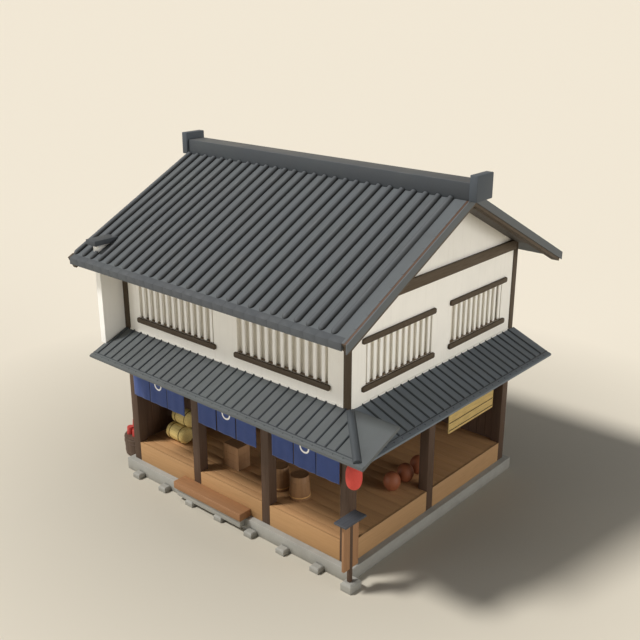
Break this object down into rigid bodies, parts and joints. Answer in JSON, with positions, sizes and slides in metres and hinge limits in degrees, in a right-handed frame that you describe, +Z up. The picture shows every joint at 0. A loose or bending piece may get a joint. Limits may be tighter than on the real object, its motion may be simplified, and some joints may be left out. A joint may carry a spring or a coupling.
{
  "type": "shophouse",
  "caption": "Timber corner shophouse on a stone plinth: open shop floor behind cloth curtains, lapped pent roof, slatted plaster upper storey, tiled gable roof and a sleeve fire wall.",
  "frame": {"origin": "on the ground at the centre of the plinth's underside", "axes": "+X along the shop front to the street corner, +Y from the front to the back, +Z up"},
  "size_m": [7.5512, 6.61, 6.6061],
  "materials": {
    "stone": "dressed grey stone",
    "step_wood": "planed plank",
    "floor_wood": "planed light boards",
    "dark_wood": "dark stained timber",
    "wall_wood": "dark boards",
    "plaster": "cream lime plaster",
    "white_plaster": "white lime plaster",
    "screen_paper": "paper on a lattice screen",
    "roof_tile": "smoked grey clay tile",
    "pent_tile": "smoked grey clay tile",
    "indigo_cloth": "indigo dyed cloth",
    "reed": "split reeds",
    "red_paper": "oiled red paper",
    "sign_shingle": "blue-grey stained shingle",
    "red_paint": "red lacquer on staves",
    "straw": "woven straw",
    "crate_wood": "sawn wood",
    "clay": "red-brown fired clay"
  },
  "bodies": {
    "root": {"stone_plinth": "stone", "kerb_stones": "stone", "step_stone": "stone", "step_board": "step_wood", "floor_deck": "floor_wood", "floor_skirt": "floor_wood", "front_posts": "dark_wood", "side_posts": "dark_wood", "ground_walls": "wall_wood", "girder_ring": "dark_wood", "upper_floor": "wall_wood", "upper_wall_front": "plaster", "upper_wall_right": "plaster", "upper_wall_back": "plaster", "upper_wall_left": "plaster", "upper_posts": "dark_wood", "gable_beams": "dark_wood", "window_screens": "screen_paper", "window_rails": "dark_wood", "sleeve_wall": "white_plaster", "sleeve_cap": "roof_tile", "main_roof_front": "roof_tile", "main_roof_back": "roof_tile", "verge_boards": "dark_wood", "ridge_box": "roof_tile", "ridge_ends": "roof_tile", "pent_roof_front": "pent_tile", "pent_roof_right": "pent_tile", "hip_roll": "pent_tile", "curtain_rod": "wall_wood", "curtain_left": "indigo_cloth", "curtain_middle": "indigo_cloth", "curtain_right": "indigo_cloth", "reed_blind": "reed", "lantern": "red_paper", "sign_stone": "stone", "sign_post": "dark_wood", "sign_board": "floor_wood", "sign_roof": "sign_shingle", "water_tub": "dark_wood", "fire_buckets": "red_paint", "straw_bales": "straw", "crate": "crate_wood", "pails": "crate_wood", "jars": "clay"}
  },
  "joints": []
}
